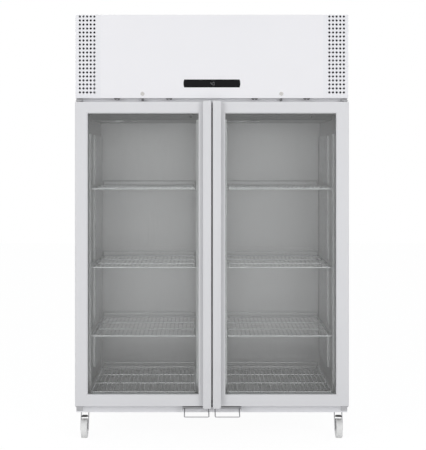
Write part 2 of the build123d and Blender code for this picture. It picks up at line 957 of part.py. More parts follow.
# Fan guards: rings on a cross of flat bars under each fan opening
with BuildPart() as fan_guards:
    for fan_x in fan_from_centre:
        with BuildSketch(Plane.XY.offset(plenum_z - guard_wire)):
            with Locations((fan_x, fan_y)):
                for ring in reversed(range(1, guard_rings + 1)):
                    ring_radius = guard_radius * ring / guard_rings
                    RegularPolygon(ring_radius, guard_sides)
                    RegularPolygon(ring_radius - guard_wire, guard_sides, mode=Mode.SUBTRACT)
                for turn in range(guard_spokes):
                    spoke_length = 2 * guard_radius * math.cos(math.pi / guard_sides)
                    Rectangle(spoke_length, guard_wire, rotation=turn * 180 / guard_spokes)
        extrude(amount=guard_wire)
save(fan_guards, "fan_guards")


def impeller(base, radius):
    """A fan impeller: a bored hub with pitched blades on the axis of the plane it is given."""
    root_radius = fan_hub_radius - blade_root
    with BuildPart() as fan:
        with BuildSketch(base.offset(-fan_hub_length / 2)):
            RegularPolygon(fan_hub_radius, motor_sides)
        extrude(amount=fan_hub_length)
        with Locations(base):
            with PolarLocations((root_radius + radius) / 2, fan_blades):
                with Locations(Location((0, 0, 0), (blade_pitch, 0, 0))):
                    Box(radius - root_radius, blade_chord, blade_thickness)
        with BuildSketch(base.offset(-fan_hub_length / 2)):
            Circle(shaft_radius + axle_fit)
        extrude(amount=fan_hub_length, mode=Mode.SUBTRACT)
    return fan


for fan_x, fan_name in zip(fan_from_centre, ("left", "right")):
    fan_plane = Plane(origin=(fan_x, fan_y, evaporator_fan_z))
    save(impeller(fan_plane, evaporator_fan_radius), f"{fan_name}_evaporator_fan")
condenser_plane = Plane(
    origin=(condenser_x, condenser_fan_y, condenser_z), x_dir=(1, 0, 0), z_dir=(0, -1, 0)
)
save(impeller(condenser_plane, condenser_fan_radius), "condenser_fan")

# Fan motors: one on the cavity ceiling over each evaporator fan, one on a post behind the condenser
with BuildPart() as fan_motors:
    for fan_x in fan_from_centre:
        with BuildSketch(Plane.XY.offset(ceiling_z)):
            with Locations((fan_x, fan_y)):
                RegularPolygon(motor_radius, motor_sides)
        extrude(amount=-evaporator_motor_height)
        with BuildSketch(Plane.XY.offset(ceiling_z)):
            with Locations((fan_x, fan_y)):
                Circle(shaft_radius)
        extrude(amount=-(ceiling_z - evaporator_fan_z) - fan_hub_length / 2)
    with BuildSketch(Plane.XZ.offset(-condenser_motor_y)):
        with Locations((condenser_x, condenser_z)):
            RegularPolygon(motor_radius, motor_sides)
    extrude(amount=-condenser_motor_length)
    with BuildSketch(Plane.XZ.offset(-condenser_motor_y)):
        with Locations((condenser_x, condenser_z)):
            Circle(shaft_radius)
    extrude(amount=condenser_motor_y - condenser_fan_y + fan_hub_length / 2)
    block(
        condenser_x - motor_radius,
        condenser_x + motor_radius,
        condenser_motor_y + motor_stand_inset,
        condenser_motor_y + condenser_motor_length - motor_stand_inset,
        deck_z + sheet,
        condenser_z,
    )
save(fan_motors, "fan_motors")


def finned_block(x0, x1, y0, y1, z0, z1, fins):
    """A coil block whose top and bottom are cut into plate fins."""
    block(x0, x1, y0, y1, z0, z1)
    pitch = (x1 - x0) / fins
    for top_z, depth in ((z1, fin_cut), (z0 + fin_cut, fin_cut)):
        with BuildSketch(Plane.XY.offset(top_z - depth)) as slots:
            with Locations(((x0 + x1) / 2, (y0 + y1) / 2)):
                with GridLocations(pitch, 0, fins, 1):
                    Rectangle(pitch - fin_thickness, y1 - y0)
        extrude(slots.sketch, amount=depth, mode=Mode.SUBTRACT)


# Evaporator coil on the plenum, behind the fans
with BuildPart() as evaporator_coil:
    finned_block(
        -coil_half,
        coil_half,
        coil_y,
        coil_y + coil_depth,
        plenum_z + liner_sheet,
        plenum_z + liner_sheet + coil_height,
        coil_fins,
    )
save(evaporator_coil, "evaporator_coil")

# Back duct panel: a folded sheet in front of the liner's back wall
with BuildPart() as back_duct_panel:
    with BuildSketch(Plane.XY.offset(floor_z + duct_lift)):
        Polygon(
            (-cavity_half, duct_y),
            (cavity_half, duct_y),
            (cavity_half, liner_rear_y),
            (cavity_half - liner_sheet, liner_rear_y),
            (cavity_half - liner_sheet, duct_y + liner_sheet),
            (-cavity_half + liner_sheet, duct_y + liner_sheet),
            (-cavity_half + liner_sheet, liner_rear_y),
            (-cavity_half, liner_rear_y),
            align=None,
        )
    extrude(amount=plenum_z - floor_z - duct_lift)
save(back_duct_panel, "back_duct_panel")

# Compressor: a hermetic can on a foot plate
with BuildPart() as compressor:
    block(
        compressor_x - compressor_radius,
        compressor_x + compressor_radius,
        compressor_y - compressor_radius,
        compressor_y + compressor_radius,
        deck_z + sheet,
        deck_z + sheet + foot_height,
    )
    with BuildSketch(Plane.XY.offset(deck_z + sheet + foot_height)):
        with Locations((compressor_x, compressor_y)):
            RegularPolygon(compressor_radius, can_sides)
    extrude(amount=compressor_height)
    chamfer(compressor.faces().sort_by(Axis.Z)[-1].edges(), length=compressor_shoulder)
save(compressor, "compressor")

# Condenser: a finned coil standing on the deck and the shroud round its fan
with BuildPart() as condenser:
    finned_block(
        condenser_x - condenser_length / 2,
        condenser_x + condenser_length / 2,
        condenser_y,
        condenser_y + condenser_depth,
        deck_z + sheet,
        deck_z + sheet + condenser_height,
        condenser_fins,
    )
    block(
        condenser_x - condenser_length / 2,
        condenser_x + condenser_length / 2,
        condenser_y + condenser_depth,
        condenser_y + condenser_depth + shroud_depth,
        deck_z + sheet,
        deck_z + sheet + condenser_height,
    )
    block(
        condenser_x - condenser_length / 2 + shroud_wall,
        condenser_x + condenser_length / 2 - shroud_wall,
        condenser_y + condenser_depth,
        condenser_y + condenser_depth + shroud_depth - shroud_wall,
        deck_z + sheet + shroud_wall,
        deck_z + sheet + condenser_height - shroud_wall,
        mode=Mode.SUBTRACT,
    )
    with BuildSketch(Plane.XZ.offset(-condenser_y - condenser_depth - shroud_depth)):
        with Locations((condenser_x, condenser_z)):
            RegularPolygon(condenser_fan_radius + fan_clearance, guard_sides, major_radius=False)
    extrude(amount=shroud_wall, mode=Mode.SUBTRACT)
save(condenser, "condenser")

# Control box on the deck, with the gland of the mains lead
with BuildPart() as control_box:
    block(
        control_box_x - control_box_width / 2,
        control_box_x + control_box_width / 2,
        control_box_y,
        control_box_y + control_box_depth,
        deck_z + sheet,
        deck_z + sheet + control_box_height,
    )
    with BuildSketch(Plane.XZ.offset(-control_box_y - control_box_depth)):
        with Locations((control_box_x, deck_z + sheet + control_box_height / 2)):
            RegularPolygon(gland_radius, 6)
    extrude(amount=-gland_length)
save(control_box, "control_box")

# Pedal brackets: a folded angle under each door with an ear at each end, and the stop between them
with BuildPart() as pedal_brackets:
    for side in (-1, 1):
        inner_x = pedal_from_centre
        outer_x = pedal_from_centre + pedal_bracket_length
        with BuildSketch(Plane.YZ.offset(inner_x if side > 0 else -outer_x)):
            Polygon(
                (pedal_arm_y, pedal_top_z - pedal_plate),
                (body_front_y - pedal_plate, pedal_top_z - pedal_plate),
                (body_front_y - pedal_plate, pedal_top_z - pedal_bracket_height),
                (body_front_y, pedal_top_z - pedal_bracket_height),
                (body_front_y, pedal_top_z),
                (pedal_arm_y, pedal_top_z),
                align=None,
            )
        extrude(amount=pedal_bracket_length)
        for ear_x in (inner_x, outer_x - pedal_ear):
            block(
                side * ear_x,
                side * (ear_x + pedal_ear),
                pedal_arm_y,
                body_front_y - pedal_plate,
                pedal_top_z - pedal_bracket_height,
                pedal_top_z - pedal_plate,
            )
            with BuildSketch(Plane.YZ.offset(side * ear_x)):
                with Locations((pedal_pivot_y, pedal_pivot_z)):
                    Circle(pedal_pivot_radius + axle_fit)
            extrude(amount=side * pedal_ear, mode=Mode.SUBTRACT)
    block(
        -pedal_stop_half,
        pedal_stop_half,
        pedal_arm_y,
        body_front_y,
        pedal_top_z - pedal_bracket_height,
        pedal_top_z,
    )
save(pedal_brackets, "pedal_brackets")


def foot_pedal(side):
    """A foot pedal: a bent wire loop on a shaft that turns in the bracket's ears."""
    inner_x = side * (pedal_from_centre + pedal_inset)
    outer_x = side * (pedal_from_centre + pedal_bracket_length - pedal_inset)
    bend_y = pedal_toe_y + pedal_corner
    bend_z = pedal_toe_z + pedal_drop * pedal_corner / (pedal_pivot_y - pedal_toe_y)
    with BuildPart() as pedal:
        with BuildSketch(Plane.YZ.offset(side * pedal_from_centre)):
            with Locations((pedal_pivot_y, pedal_pivot_z)):
                Circle(pedal_pivot_radius)
        extrude(amount=side * pedal_bracket_length)
        with BuildLine():
            route = Polyline(
                (inner_x, pedal_pivot_y, pedal_pivot_z),
                (inner_x, bend_y, bend_z),
                (inner_x + side * pedal_corner, pedal_toe_y, pedal_toe_z),
                (outer_x - side * pedal_corner, pedal_toe_y, pedal_toe_z),
                (outer_x, bend_y, bend_z),
                (outer_x, pedal_pivot_y, pedal_pivot_z),
            )
        with BuildSketch(Plane(origin=route @ 0, z_dir=route % 0)):
            RegularPolygon(pedal_wire_radius, wire_sides)
        sweep(path=route, transition=Transition.RIGHT)
    return pedal


save(foot_pedal(-1), "left_foot_pedal")
save(foot_pedal(1), "right_foot_pedal")

# Castor plates: a bolt-on plate and a headed king pin at each corner
with BuildPart() as castor_plates:
    for side in (-1, 1):
        for swivel_y in (front_swivel_y, rear_swivel_y):
            block(
                side * castor_x - castor_plate_size / 2,
                side * castor_x + castor_plate_size / 2,
                swivel_y - castor_plate_size / 2,
                swivel_y + castor_plate_size / 2,
                body_bottom_z - castor_plate_thickness,
                body_bottom_z,
            )
            with BuildSketch(Plane.XY.offset(body_bottom_z - castor_plate_thickness)):
                with Locations((side * castor_x, swivel_y)):
                    Circle(king_pin_radius)
            extrude(amount=-king_pin_length)
            with BuildSketch(Plane.XY.offset(crown_bottom_z - bed)):
                with Locations((side * castor_x, swivel_y)):
                    RegularPolygon(king_pin_head, wire_sides)
            extrude(amount=-king_pin_head_height)
save(castor_plates, "castor_plates")


def castor_fork(side, swivel_y, braked):
    """A castor fork: a bored crown, two cheeks cut from plate and the axle between them."""
    axle_y = swivel_y - castor_trail
    centre_x = side * castor_x
    cheek_x = wheel_width / 2 + wheel_side_gap
    with BuildPart() as fork:
        with BuildSketch(Plane.XY.offset(crown_bottom_z)):
            with Locations((centre_x, swivel_y)):
                RegularPolygon(crown_radius, crown_sides, rotation=180 / crown_sides)
        extrude(amount=crown_height)
        for cheek_side in (-1, 1):
            with BuildSketch(Plane.YZ.offset(centre_x + cheek_side * cheek_x)):
                with BuildLine():
                    Polyline(
                        (swivel_y + crown_half_chord, crown_bottom_z + crown_height),
                        (swivel_y - crown_half_chord, crown_bottom_z + crown_height),
                        (axle_y - fork_end_radius, wheel_radius),
                    )
                    Polyline(
                        (axle_y - fork_end_radius, wheel_radius),
                        (axle_y - fork_end_radius / 2, wheel_radius - fork_end_radius),
                        (axle_y + fork_end_radius / 2, wheel_radius - fork_end_radius),
                        (axle_y + fork_end_radius, wheel_radius),
                        (swivel_y + crown_half_chord, crown_bottom_z + crown_height),
                    )
                make_face()
            extrude(amount=cheek_side * fork_cheek)
        with BuildSketch(Plane.YZ.offset(centre_x - cheek_x)):
            with Locations((axle_y, wheel_radius)):
                Circle(axle_radius)
        extrude(amount=2 * cheek_x)
        with BuildSketch(Plane.XY.offset(crown_bottom_z)):
            with Locations((centre_x, swivel_y)):
                Circle(king_pin_radius + axle_fit)
        extrude(amount=crown_height, mode=Mode.SUBTRACT)
        if braked:
            with BuildSketch(Plane.YZ.offset(centre_x - cheek_x - fork_cheek)):
                with Locations((swivel_y - lever_pivot_forward, lever_pivot_z)):
                    Circle(lever_pivot_radius + axle_fit)
            extrude(amount=2 * (cheek_x + fork_cheek), mode=Mode.SUBTRACT)
    return fork


def castor_wheel(side, swivel_y):
    """A solid wheel with bevelled tread edges and a bore for the axle."""
    axle_y = swivel_y - castor_trail
    with BuildPart() as wheel:
        with BuildSketch(Plane.YZ.offset(side * castor_x - wheel_width / 2)):
            with Locations((axle_y, wheel_radius)):
                RegularPolygon(wheel_radius, wheel_sides, major_radius=False, rotation=180 / wheel_sides)
        extrude(amount=wheel_width)
        chamfer(wheel.faces().sort_by(Axis.X)[0].edges(), length=wheel_chamfer)
        chamfer(wheel.faces().sort_by(Axis.X)[-1].edges(), length=wheel_chamfer)
        with BuildSketch(Plane.YZ.offset(side * castor_x - wheel_width / 2)):
            with Locations((axle_y, wheel_radius)):
                Circle(axle_radius + axle_fit)
        extrude(amount=wheel_width, mode=Mode.SUBTRACT)
    return wheel


def brake_lever(side, swivel_y):
    """A brake lever: a foot plate over the wheel with a shoe under it and a pivot in the fork."""
    pivot_y = swivel_y - lever_pivot_forward
    toe_y = pivot_y - lever_length
    with BuildPart() as lever:
        with BuildSketch(Plane.YZ.offset(side * castor_x - lever_width / 2)):
            Polygon(
                (pivot_y + lever_boss, lever_pivot_z - lever_thickness / 2),
                (pivot_y - lever_boss, lever_pivot_z - lever_thickness / 2),
                (toe_y, lever_pivot_z + lever_rise),
                (toe_y, lever_pivot_z + lever_rise + lever_thickness),
                (pivot_y - lever_boss, lever_pivot_z + lever_thickness),
                (pivot_y + lever_boss, lever_pivot_z + lever_thickness),
                align=None,
            )
        extrude(amount=lever_width)
        with BuildSketch(Plane.YZ.offset(side * castor_x - wheel_width / 2 - wheel_side_gap - fork_cheek)):
            with Locations((pivot_y, lever_pivot_z)):
                Circle(lever_pivot_radius)
        extrude(amount=wheel_width + 2 * (wheel_side_gap + fork_cheek))
    return lever


for castor_side, castor_hand in ((-1, "left"), (1, "right")):
    for castor_y, castor_end in ((front_swivel_y, "front"), (rear_swivel_y, "rear")):
        has_brake = castor_end == "front"
        save(
            castor_fork(castor_side, castor_y, has_brake),
            f"{castor_hand}_{castor_end}_castor_fork",
        )
        save(
            castor_wheel(castor_side, castor_y),
            f"{castor_hand}_{castor_end}_castor_wheel",
        )
    save(brake_lever(castor_side, front_swivel_y), f"{castor_hand}_brake_lever")
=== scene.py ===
import math

import bpy
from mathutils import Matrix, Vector


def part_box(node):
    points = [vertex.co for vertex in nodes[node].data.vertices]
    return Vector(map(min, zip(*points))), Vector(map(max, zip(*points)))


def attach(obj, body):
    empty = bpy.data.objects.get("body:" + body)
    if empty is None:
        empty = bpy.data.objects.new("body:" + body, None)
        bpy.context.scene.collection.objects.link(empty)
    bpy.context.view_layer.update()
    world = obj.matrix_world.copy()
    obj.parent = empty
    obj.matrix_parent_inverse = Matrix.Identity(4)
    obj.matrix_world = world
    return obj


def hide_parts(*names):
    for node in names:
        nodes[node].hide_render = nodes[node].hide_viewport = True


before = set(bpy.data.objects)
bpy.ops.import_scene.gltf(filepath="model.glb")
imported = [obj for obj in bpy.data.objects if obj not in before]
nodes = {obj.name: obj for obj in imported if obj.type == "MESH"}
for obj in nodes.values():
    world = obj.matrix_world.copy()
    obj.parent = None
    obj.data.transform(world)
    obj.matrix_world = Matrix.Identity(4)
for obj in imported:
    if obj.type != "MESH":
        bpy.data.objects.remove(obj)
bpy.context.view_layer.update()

# The cabinet as a catalogue shows it: seen level and straight on from about eye height,
# with upright lines kept upright by a shift of the lens.
eye = Vector((-0.061, -5.8025, 1.4805))
bpy.ops.object.camera_add(location=eye, rotation=(math.radians(90), 0, 0))
view_camera = bpy.context.object
view_camera.name = "catalogue_view"
view_camera.data.lens = 84.58
view_camera.data.sensor_width = 36
view_camera.data.shift_x = 0.0289
view_camera.data.shift_y = -0.1556
view_camera.data.clip_end = 60
bpy.context.scene.camera = view_camera
bpy.context.scene.view_settings.view_transform = "Standard"


def soft_light(name, place, aim, width, height, power):
    """A large studio softbox that faces the cabinet and isn't seen in its steel or through its glass."""
    turn = (Vector(aim) - Vector(place)).to_track_quat("-Z", "Y").to_euler()
    bpy.ops.object.light_add(type="AREA", location=place, rotation=turn)
    lamp = bpy.context.object
    lamp.name = name
    lamp.data.shape = "RECTANGLE"
    lamp.data.size = width
    lamp.data.size_y = height
    lamp.data.energy = power
    lamp.visible_glossy = False
    lamp.visible_transmission = False


soft_light("left_softbox", (-3.4, -5.2, 2.6), (0, 0, 1.1), 2.2, 2.6, 78)
soft_light("right_softbox", (3.0, -5.4, 2.2), (0, 0, 1.1), 2.2, 2.6, 66)
soft_light("low_softbox", (0.0, -5.6, 0.7), (0, 0, 0.8), 3.0, 0.9, 20)


def looked_at(tree):
    """A value of 1 where a ray sees a shader straight, in a reflection or through glass, and else 0."""
    ray = tree.nodes.new("ShaderNodeLightPath")
    seen = ray.outputs["Is Camera Ray"]
    for kind in ("Is Glossy Ray", "Is Transmission Ray"):
        either = tree.nodes.new("ShaderNodeMath")
        either.operation = "MAXIMUM"
        tree.links.new(seen, either.inputs[0])
        tree.links.new(ray.outputs[kind], either.inputs[1])
        seen = either.outputs[0]
    return seen


# The sky: pure white where it is looked at, and a dimmer, slightly cool light for the rest.
studio = bpy.data.worlds.new("white_studio")
bpy.context.scene.world = studio
studio.use_nodes = True
sky = studio.node_tree
sky.nodes.clear()
seen_white = sky.nodes.new("ShaderNodeBackground")
seen_white.inputs["Color"].default_value = (1, 1, 1, 1)
seen_white.inputs["Strength"].default_value = 1.0
room_light = sky.nodes.new("ShaderNodeBackground")
room_light.inputs["Color"].default_value = (0.97, 0.98, 1.0, 1)
room_light.inputs["Strength"].default_value = 0.55
pick = sky.nodes.new("ShaderNodeMixShader")
sky.links.new(looked_at(sky), pick.inputs[0])
sky.links.new(room_light.outputs[0], pick.inputs[1])
sky.links.new(seen_white.outputs[0], pick.inputs[2])
sky_out = sky.nodes.new("ShaderNodeOutputWorld")
sky.links.new(pick.outputs[0], sky_out.inputs["Surface"])

# The studio floor: white vinyl, lit so that it meets the white background,
# with the soft shadow of the cabinet left on it.
bpy.ops.object.select_all(action="DESELECT")
floor_size, floor_drop, glow_share = 24, 0.0006, 0.9
bpy.ops.mesh.primitive_plane_add(size=floor_size, location=(0, 0, -floor_drop))
floor = bpy.context.object
floor.name = "studio_floor"
vinyl = bpy.data.materials.new("white_vinyl")
vinyl.use_nodes = True
tree = vinyl.node_tree
tree.nodes.clear()
matt = tree.nodes.new("ShaderNodeBsdfDiffuse")
matt.inputs["Color"].default_value = (0.86, 0.86, 0.86, 1)
lit = tree.nodes.new("ShaderNodeEmission")
lit.inputs["Color"].default_value = (1, 1, 1, 1)
lit.inputs["Strength"].default_value = 1.05
share = tree.nodes.new("ShaderNodeMath")
share.operation = "MULTIPLY"
share.inputs[1].default_value = glow_share
tree.links.new(looked_at(tree), share.inputs[0])
blend_floor = tree.nodes.new("ShaderNodeMixShader")
tree.links.new(share.outputs[0], blend_floor.inputs[0])
tree.links.new(matt.outputs[0], blend_floor.inputs[1])
tree.links.new(lit.outputs[0], blend_floor.inputs[2])
floor_out = tree.nodes.new("ShaderNodeOutputMaterial")
tree.links.new(blend_floor.outputs[0], floor_out.inputs["Surface"])
floor.data.materials.append(vinyl)

# Outer casing, top cover, deck and rear panel: zinc-coated sheet, folded, riveted and powder coated
# white. The coat has a fine orange-peel skin and a slight unevenness in its gloss.


def new_group(name, inputs, outputs):
    """A shader node group with named sockets, and its input, output and position nodes."""
    group = bpy.data.node_groups.new(name, "ShaderNodeTree")
    for label, kind, start in inputs:
        socket = group.interface.new_socket(name=label, in_out="INPUT", socket_type=kind)
        socket.default_value = start
    for label, kind in outputs:
        group.interface.new_socket(name=label, in_out="OUTPUT", socket_type=kind)
    source = group.nodes.new("NodeGroupInput")
    result = group.nodes.new("NodeGroupOutput")
    place = group.nodes.new("ShaderNodeTexCoord").outputs["Object"]
    return group, source, result, place


def speckle(group, place, scale, detail=2.0, rough=0.5):
    """A noise pattern on a position; its value runs from about 0.3 to 0.7."""
    noise = group.nodes.new("ShaderNodeTexNoise")
    noise.inputs["Scale"].default_value = scale
    noise.inputs["Detail"].default_value = detail
    noise.inputs["Roughness"].default_value = rough
    group.links.new(place, noise.inputs["Vector"])
    return noise.outputs["Fac"]


def remap(group, value, low, high):
    """A noise value, from about 0.3 to 0.7, carried to another range."""
    node = group.nodes.new("ShaderNodeMapRange")
    node.inputs["From Min"].default_value = 0.3
    node.inputs["From Max"].default_value = 0.7
    for label, end in (("To Min", low), ("To Max", high)):
        if isinstance(end, (int, float)):
            node.inputs[label].default_value = end
        else:
            group.links.new(end, node.inputs[label])
    group.links.new(value, node.inputs["Value"])
    return node.outputs["Result"]


def tinted(group, factor, colour, other):
    """A mix of two colours, each a socket or plain numbers."""
    mix = group.nodes.new("ShaderNodeMix")
    mix.data_type = "RGBA"
    group.links.new(factor, mix.inputs["Factor"])
    for socket, value in ((mix.inputs["A"], colour), (mix.inputs["B"], other)):
        if isinstance(value, tuple):
            socket.default_value = (*value, 1)
        else:
            group.links.new(value, socket)
    return mix.outputs["Result"]


def relief(group, height, strength, distance):
    """A bump normal from a height pattern."""
    bump = group.nodes.new("ShaderNodeBump")
    bump.inputs["Distance"].default_value = distance
    if isinstance(strength, (int, float)):
        bump.inputs["Strength"].default_value = strength
    else:
        group.links.new(strength, bump.inputs["Strength"])
    group.links.new(height, bump.inputs["Height"])
    return bump.outputs["Normal"]


coat_skin, given, result, place = new_group(
    "powder_coat_skin",
    [
        ("Colour", "NodeSocketColor", (0.8, 0.8, 0.8, 1)),
        ("Shaded Colour", "NodeSocketColor", (0.76, 0.76, 0.76, 1)),
        ("Gloss Low", "NodeSocketFloat", 0.28),
        ("Gloss High", "NodeSocketFloat", 0.4),
        ("Peel", "NodeSocketFloat", 0.12),
    ],
    [("Colour", "NodeSocketColor"), ("Roughness", "NodeSocketFloat"), ("Normal", "NodeSocketVector")],
)
cloudy = speckle(coat_skin, place, 2.2, 3)
unevenness = remap(coat_skin, cloudy, 0.0, 1.0)
coat_skin.links.new(
    tinted(coat_skin, unevenness, given.outputs["Colour"], given.outputs["Shaded Colour"]),
    result.inputs["Colour"],
)
handled = speckle(coat_skin, place, 14, 3)
coat_skin.links.new(
    remap(coat_skin, handled, given.outputs["Gloss Low"], given.outputs["Gloss High"]),
    result.inputs["Roughness"],
)
peel = speckle(coat_skin, place, 260, 1)
coat_skin.links.new(relief(coat_skin, peel, given.outputs["Peel"], 0.0004), result.inputs["Normal"])


def new_finish(name, metallic=0.0, specular=0.5):
    """A material with one Principled shader; returns the material, its tree and the shader."""
    finish = bpy.data.materials.new(name)
    finish.use_nodes = True
    skin = finish.node_tree.nodes["Principled BSDF"]
    skin.inputs["Metallic"].default_value = metallic
    skin.inputs["Specular IOR Level"].default_value = specular
    return finish, finish.node_tree, skin


def coated(name, colour, shaded, gloss=(0.28, 0.4), peel_strength=0.12, specular=0.5):
    """A powder-coated or moulded finish that uses the coat's skin."""
    finish, tree, skin = new_finish(name, specular=specular)
    coat = tree.nodes.new("ShaderNodeGroup")
    coat.node_tree = coat_skin
    coat.inputs["Colour"].default_value = (*colour, 1)
    coat.inputs["Shaded Colour"].default_value = (*shaded, 1)
    coat.inputs["Gloss Low"].default_value = gloss[0]
    coat.inputs["Gloss High"].default_value = gloss[1]
    coat.inputs["Peel"].default_value = peel_strength
    tree.links.new(coat.outputs["Colour"], skin.inputs["Base Color"])
    tree.links.new(coat.outputs["Roughness"], skin.inputs["Roughness"])
    tree.links.new(coat.outputs["Normal"], skin.inputs["Normal"])
    return finish


def dress(finish, *names):
    """Gives carried-over CAD nodes their finish."""
    for name in names:
        piece = nodes[name]
        piece.data.materials.clear()
        piece.data.materials.append(finish)


white_coat = coated("white_powder_coat", (0.84, 0.84, 0.86), (0.81, 0.81, 0.835))
dress(white_coat, "outer_casing", "top_cover", "rear_grille_panel", "machine_deck")

# Fascia: one folded sheet, powder coated like the casing, with openings cut for the display and locks.
dress(coated("fascia_coat", (0.86, 0.855, 0.875), (0.845, 0.84, 0.86), (0.3, 0.38), 0.08), "fascia_cover")

# Side grilles: two punched steel sheets beside the fascia, coated white, with five columns of round
# holes for the condenser's air. The shaded hollow behind them shows dark through the holes.
smooth_below = math.radians(35)


def finish_piece(piece, name, finish, body, slot, *stands_for):
    """Settles a modelled piece: place applied, faces out, shading by angle, finish and body; its slot is not
    used.
    """
    piece.name = name
    piece.data.name = name
    bpy.ops.object.select_all(action="DESELECT")
    piece.select_set(True)
    bpy.context.view_layer.objects.active = piece
    bpy.ops.object.transform_apply(location=True, rotation=True, scale=True)
    bpy.ops.object.mode_set(mode="EDIT")
    bpy.ops.mesh.select_all(action="SELECT")
    bpy.ops.mesh.normals_make_consistent(inside=False)
    bpy.ops.object.mode_set(mode="OBJECT")
    bpy.ops.object.shade_smooth_by_angle(angle=smooth_below)
    piece.data.materials.clear()
    piece.data.materials.append(finish)
    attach(piece, body)
    if stands_for:
        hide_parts(*stands_for)


def repeat_piece(piece, count, step):
    """Repeats a mesh in a row, as an applied Array."""
    bpy.context.view_layer.objects.active = piece
    row = piece.modifiers.new("row", "ARRAY")
    row.count = count
    row.use_relative_offset = False
    row.use_constant_offset = True
    row.constant_offset_displace = step
    bpy.ops.object.modifier_apply(modifier=row.name)


def join_pieces(pieces):
    """Joins several meshes into the first one."""
    bpy.ops.object.select_all(action="DESELECT")
    for piece in pieces:
        piece.select_set(True)
    bpy.context.view_layer.objects.active = pieces[0]
    bpy.ops.object.join()
    return pieces[0]


def block(middle, size):
    """A plain block; its place and size are already in its mesh."""
    bpy.ops.mesh.primitive_cube_add(size=1, location=middle, scale=size)
    bpy.ops.object.transform_apply(location=True, rotation=True, scale=True)
    return bpy.context.object


def rod(middle, length, radius, sides, turn):
    """A plain cylinder; its place and turn are already in its mesh."""
    bpy.ops.mesh.primitive_cylinder_add(
        vertices=sides, radius=radius, depth=length, location=middle, rotation=turn
    )
    bpy.ops.object.transform_apply(location=True, rotation=True, scale=True)
    return bpy.context.object


def pick_ends(piece):
    """Selects a rod's end faces, the ones with more than four corners, and stays in Edit Mode."""
    bpy.ops.object.mode_set(mode="EDIT")
    bpy.ops.mesh.select_all(action="DESELECT")
    bpy.ops.object.mode_set(mode="OBJECT")
    for face in piece.data.polygons:
        face.select = len(face.vertices) > 4
    bpy.ops.object.mode_set(mode="EDIT")


def ease_edges(piece, width, segments, angle=30):
    """Rounds a mesh's sharper edges, as an applied Bevel."""
    eased_edges = piece.modifiers.new("eased", "BEVEL")
    eased_edges.width = width
    eased_edges.segments = segments
    eased_edges.limit_method = "ANGLE"
    eased_edges.angle_limit = math.radians(angle)
    bpy.ops.object.modifier_apply(modifier=eased_edges.name)


# Turns that lay a rod, which starts upright, along the cabinet's width or its depth.
along_x = (0, math.radians(90), 0)
along_y = (math.radians(90), 0, 0)

grille_low, grille_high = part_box("side_grilles")
hole_radius, punch_length = 0.0058, 0.006
hole_columns, hole_rows = 5, 20
hole_step_x, hole_step_z = 0.0186, 0.0205
grille_inner, grille_outer = 0.571, 0.6985
first_hole_x = grille_inner + 0.032
top_hole_z = grille_high[2] - 0.009
grille_y = (grille_low[1] + grille_high[1]) / 2
grille_z = (grille_low[2] + grille_high[2]) / 2
grille_size = (grille_outer - grille_inner, grille_high[1] - grille_low[1], grille_high[2] - grille_low[2])
sheets = []
for side in (-1, 1):
    punched = block((side * (grille_inner + grille_outer) / 2, grille_y, grille_z), grille_size)
    top_hole = (side * first_hole_x, grille_y, top_hole_z)
    punch = rod(top_hole, punch_length, hole_radius, sides=16, turn=along_y)
    repeat_piece(punch, hole_columns, (side * hole_step_x, 0, 0))
    repeat_piece(punch, hole_rows, (0, 0, -hole_step_z))
    bpy.context.view_layer.objects.active = punched
    press = punched.modifiers.new("press", "BOOLEAN")
    press.operation = "DIFFERENCE"
    press.object = punch
    bpy.ops.object.modifier_apply(modifier=press.name)
    bpy.data.objects.remove(punch)
    sheets.append(punched)
finish_piece(join_pieces(sheets), "punched_grilles", white_coat, "cabinet", "white_enamel", "side_grilles")

# Foam between casing and liner: poured yellow polyurethane, which shows only where the shell is cut.
dress(coated("poured_foam", (0.78, 0.66, 0.36), (0.66, 0.54, 0.28), (0.85, 0.95), 0.6), "insulation")

# Liner and duct panel: stainless sheet brushed from top to bottom, folded and spot welded. The grain
# stretches every reflection sideways, so the shelf wires show in it as level lines.
brush_grain, given, result, place = new_group(
    "brushed_grain",
    [
        ("Light", "NodeSocketColor", (0.66, 0.66, 0.68, 1)),
        ("Dark", "NodeSocketColor", (0.56, 0.56, 0.58, 1)),
        ("Stretch", "NodeSocketVector", (500.0, 500.0, 6.0)),
        ("Smooth", "NodeSocketFloat", 0.2),
        ("Coarse", "NodeSocketFloat", 0.34),
        ("Cut", "NodeSocketFloat", 0.08),
    ],
    [("Colour", "NodeSocketColor"), ("Roughness", "NodeSocketFloat"), ("Normal", "NodeSocketVector")],
)
drawn = brush_grain.nodes.new("ShaderNodeVectorMath")
drawn.operation = "MULTIPLY"
brush_grain.links.new(place, drawn.inputs[0])
brush_grain.links.new(given.outputs["Stretch"], drawn.inputs[1])
strokes = speckle(brush_grain, drawn.outputs["Vector"], 1.0, 3, 0.6)
brush_grain.links.new(
    tinted(brush_grain, remap(brush_grain, strokes, 0.0, 1.0), given.outputs["Dark"], given.outputs["Light"]),
    result.inputs["Colour"],
)
brush_grain.links.new(
    remap(brush_grain, strokes, given.outputs["Smooth"], given.outputs["Coarse"]), result.inputs["Roughness"]
)
brush_grain.links.new(relief(brush_grain, strokes, given.outputs["Cut"], 0.0002), result.inputs["Normal"])


